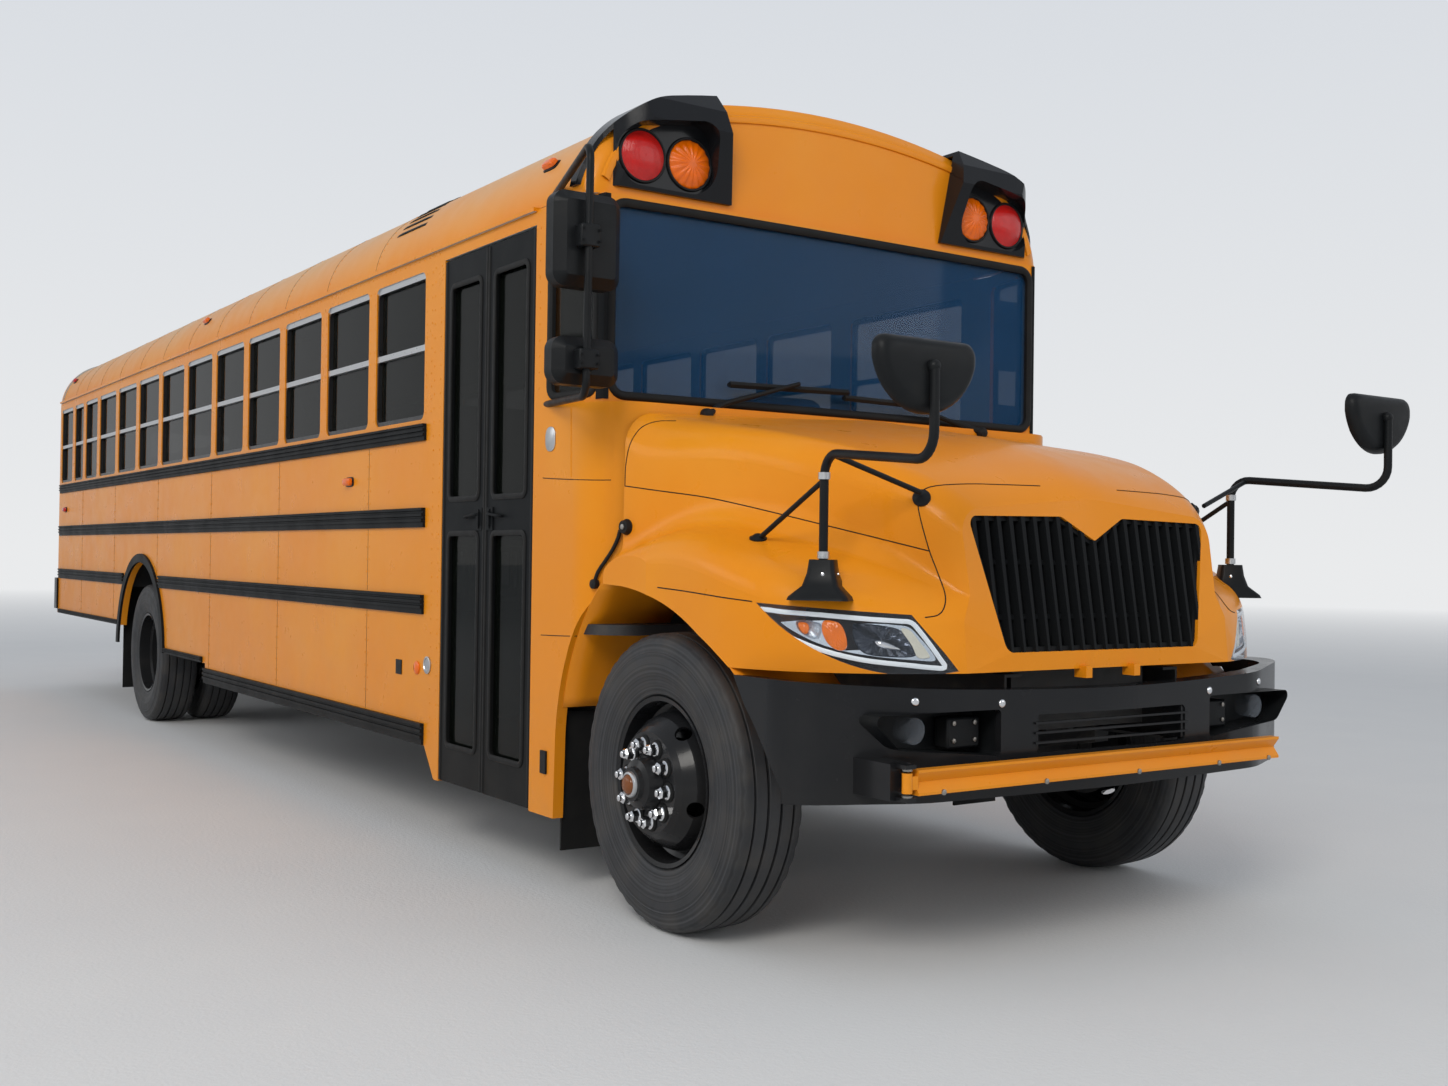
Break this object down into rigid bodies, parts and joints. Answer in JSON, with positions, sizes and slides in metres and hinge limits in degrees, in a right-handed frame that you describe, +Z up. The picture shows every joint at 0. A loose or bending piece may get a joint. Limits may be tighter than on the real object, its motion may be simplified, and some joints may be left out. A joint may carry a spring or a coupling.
{
  "type": "school bus",
  "caption": "Long conventional bus with the engine ahead of the windshield, a folding entrance door on the right, tilting hood, swinging arms, an emergency door and roof hatches.",
  "frame": {"origin": "on the ground under the middle of the bounding box", "axes": "+X to the bus's left side, +Y to its rear, +Z up"},
  "size_m": [3, 12.266, 3.2357],
  "materials": {
    "yellow_paint": "gloss",
    "black_paint": "gloss",
    "black_rails": "satin",
    "black_plastic": "matte",
    "chassis_black": "satin",
    "cast_metal": "rough",
    "exhaust_steel": "dull",
    "window_aluminium": "satin",
    "tinted_glass": "clear",
    "clear_lens": "clear",
    "red_lens": "gloss",
    "amber_lens": "gloss",
    "red_paint": "gloss",
    "tyre_rubber": "matte",
    "flap_rubber": "matte",
    "floor_rubber": "matte",
    "seat_vinyl": "satin",
    "cabin_grey": "satin",
    "dash_plastic": "matte"
  },
  "bodies": {
    "bus_body": {"frame_rails": "chassis_black", "front_axle": "chassis_black", "rear_axle": "chassis_black", "drive_shaft": "cast_metal", "engine": "cast_metal", "fuel_tank": "chassis_black", "exhaust": "exhaust_steel", "floor": "floor_rubber", "stepwell": "floor_rubber", "side_wall_right": "yellow_paint", "side_wall_left": "yellow_paint", "door_header": "yellow_paint", "roof": "yellow_paint", "front_cap": "yellow_paint", "lamp_hoods": "black_paint", "cowl": "yellow_paint", "rear_wall": "yellow_paint", "windshield": "tinted_glass", "side_glass": "tinted_glass", "window_frames": "window_aluminium", "rub_rails": "black_rails", "front_bumper": "black_paint", "rear_bumper": "black_paint", "red_lamps": "red_lens", "amber_lamps": "amber_lens", "side_mirrors": "black_plastic", "dashboard": "dash_plastic", "driver_seat": "seat_vinyl", "seats": "seat_vinyl", "seat_frames": "chassis_black", "mud_flaps": "flap_rubber"},
    "steering_wheel": {"steering_wheel": "black_plastic"},
    "hood": {"hood": "yellow_paint", "grille": "black_plastic", "headlamps": "clear_lens", "cross_view_mirrors": "black_plastic"},
    "door_front": {"door_leaf_front": "black_rails", "door_glass_front": "tinted_glass"},
    "door_rear": {"door_leaf_rear": "black_rails", "door_glass_rear": "tinted_glass"},
    "rear_door": {"rear_door": "yellow_paint", "rear_door_glass": "tinted_glass"},
    "crossing_arm": {"crossing_arm": "yellow_paint"},
    "stop_arm": {"stop_arm": "red_paint"},
    "hatch_front": {"roof_hatch_front": "cabin_grey"},
    "hatch_rear": {"roof_hatch_rear": "cabin_grey"},
    "knuckle_left": {"knuckle_left": "cast_metal"},
    "knuckle_right": {"knuckle_right": "cast_metal"},
    "wheel_front_left": {"front_tyre_left": "tyre_rubber", "front_rim_left": "black_paint"},
    "wheel_front_right": {"front_tyre_right": "tyre_rubber", "front_rim_right": "black_paint"},
    "wheels_rear_left": {"rear_tyres_left": "tyre_rubber", "rear_rims_left": "black_paint"},
    "wheels_rear_right": {"rear_tyres_right": "tyre_rubber", "rear_rims_right": "black_paint"}
  },
  "joints": [
    {"name": "hood_hinge", "type": "hinge", "parent": "bus_body", "child": "hood", "pos_m": [0, -5.797, 0.935], "axis": [1, 0, 0], "range_deg": [0, 75]},
    {"name": "door_front_hinge", "type": "hinge", "parent": "bus_body", "child": "door_front", "pos_m": [-1.222, -3.877, 1.45], "axis": [0, 0, 1], "range_deg": [0, 88]},
    {"name": "door_rear_hinge", "type": "hinge", "parent": "bus_body", "child": "door_rear", "pos_m": [-1.222, -3.012, 1.45], "axis": [0, 0, 1], "range_deg": [-88, 0]},
    {"name": "rear_door_hinge", "type": "hinge", "parent": "bus_body", "child": "rear_door", "pos_m": [-0.47, 6.056, 1.8], "axis": [0, 0, 1], "range_deg": [0, 105]},
    {"name": "crossing_arm_hinge", "type": "hinge", "parent": "bus_body", "child": "crossing_arm", "pos_m": [-0.99, -5.887, 0.65], "axis": [0, 0, 1], "range_deg": [-90, 0]},
    {"name": "stop_arm_hinge", "type": "hinge", "parent": "bus_body", "child": "stop_arm", "pos_m": [1.268, -3.607, 1.66], "axis": [0, 0, 1], "range_deg": [-90, 0]},
    {"name": "steer_left", "type": "hinge", "parent": "bus_body", "child": "knuckle_left", "pos_m": [0.9, -4.797, 0.5225], "axis": [0, 0, 1], "range_deg": [-35, 35]},
    {"name": "steer_right", "type": "hinge", "parent": "bus_body", "child": "knuckle_right", "pos_m": [-0.9, -4.797, 0.5225], "axis": [0, 0, 1], "range_deg": [-35, 35]},
    {"name": "steering", "type": "hinge", "parent": "bus_body", "child": "steering_wheel", "pos_m": [0.6, -3.917, 1.8], "axis": [0, 0.5, 0.866], "range_deg": [-630, 630]},
    {"name": "spin_front_left", "type": "hinge", "parent": "knuckle_left", "child": "wheel_front_left", "pos_m": [1.05, -4.797, 0.5225], "axis": [1, 0, 0], "continuous": true},
    {"name": "spin_front_right", "type": "hinge", "parent": "knuckle_right", "child": "wheel_front_right", "pos_m": [-1.05, -4.797, 0.5225], "axis": [1, 0, 0], "continuous": true},
    {"name": "spin_rear_left", "type": "hinge", "parent": "bus_body", "child": "wheels_rear_left", "pos_m": [0.877, 2.653, 0.5225], "axis": [1, 0, 0], "continuous": true},
    {"name": "spin_rear_right", "type": "hinge", "parent": "bus_body", "child": "wheels_rear_right", "pos_m": [-0.877, 2.653, 0.5225], "axis": [1, 0, 0], "continuous": true},
    {"name": "hatch_front_hinge", "type": "hinge", "parent": "bus_body", "child": "hatch_front", "pos_m": [0, -1.507, 3.196], "axis": [1, 0, 0], "range_deg": [0, 60]},
    {"name": "hatch_rear_hinge", "type": "hinge", "parent": "bus_body", "child": "hatch_rear", "pos_m": [0, 3.093, 3.196], "axis": [1, 0, 0], "range_deg": [0, 60]}
  ],
  "couplings": [
    {"joint": "door_rear_hinge", "follows": "door_front_hinge", "ratio": -1},
    {"joint": "steer_right", "follows": "steer_left", "ratio": 1},
    {"joint": "steering", "follows": "steer_left", "ratio": 18}
  ]
}
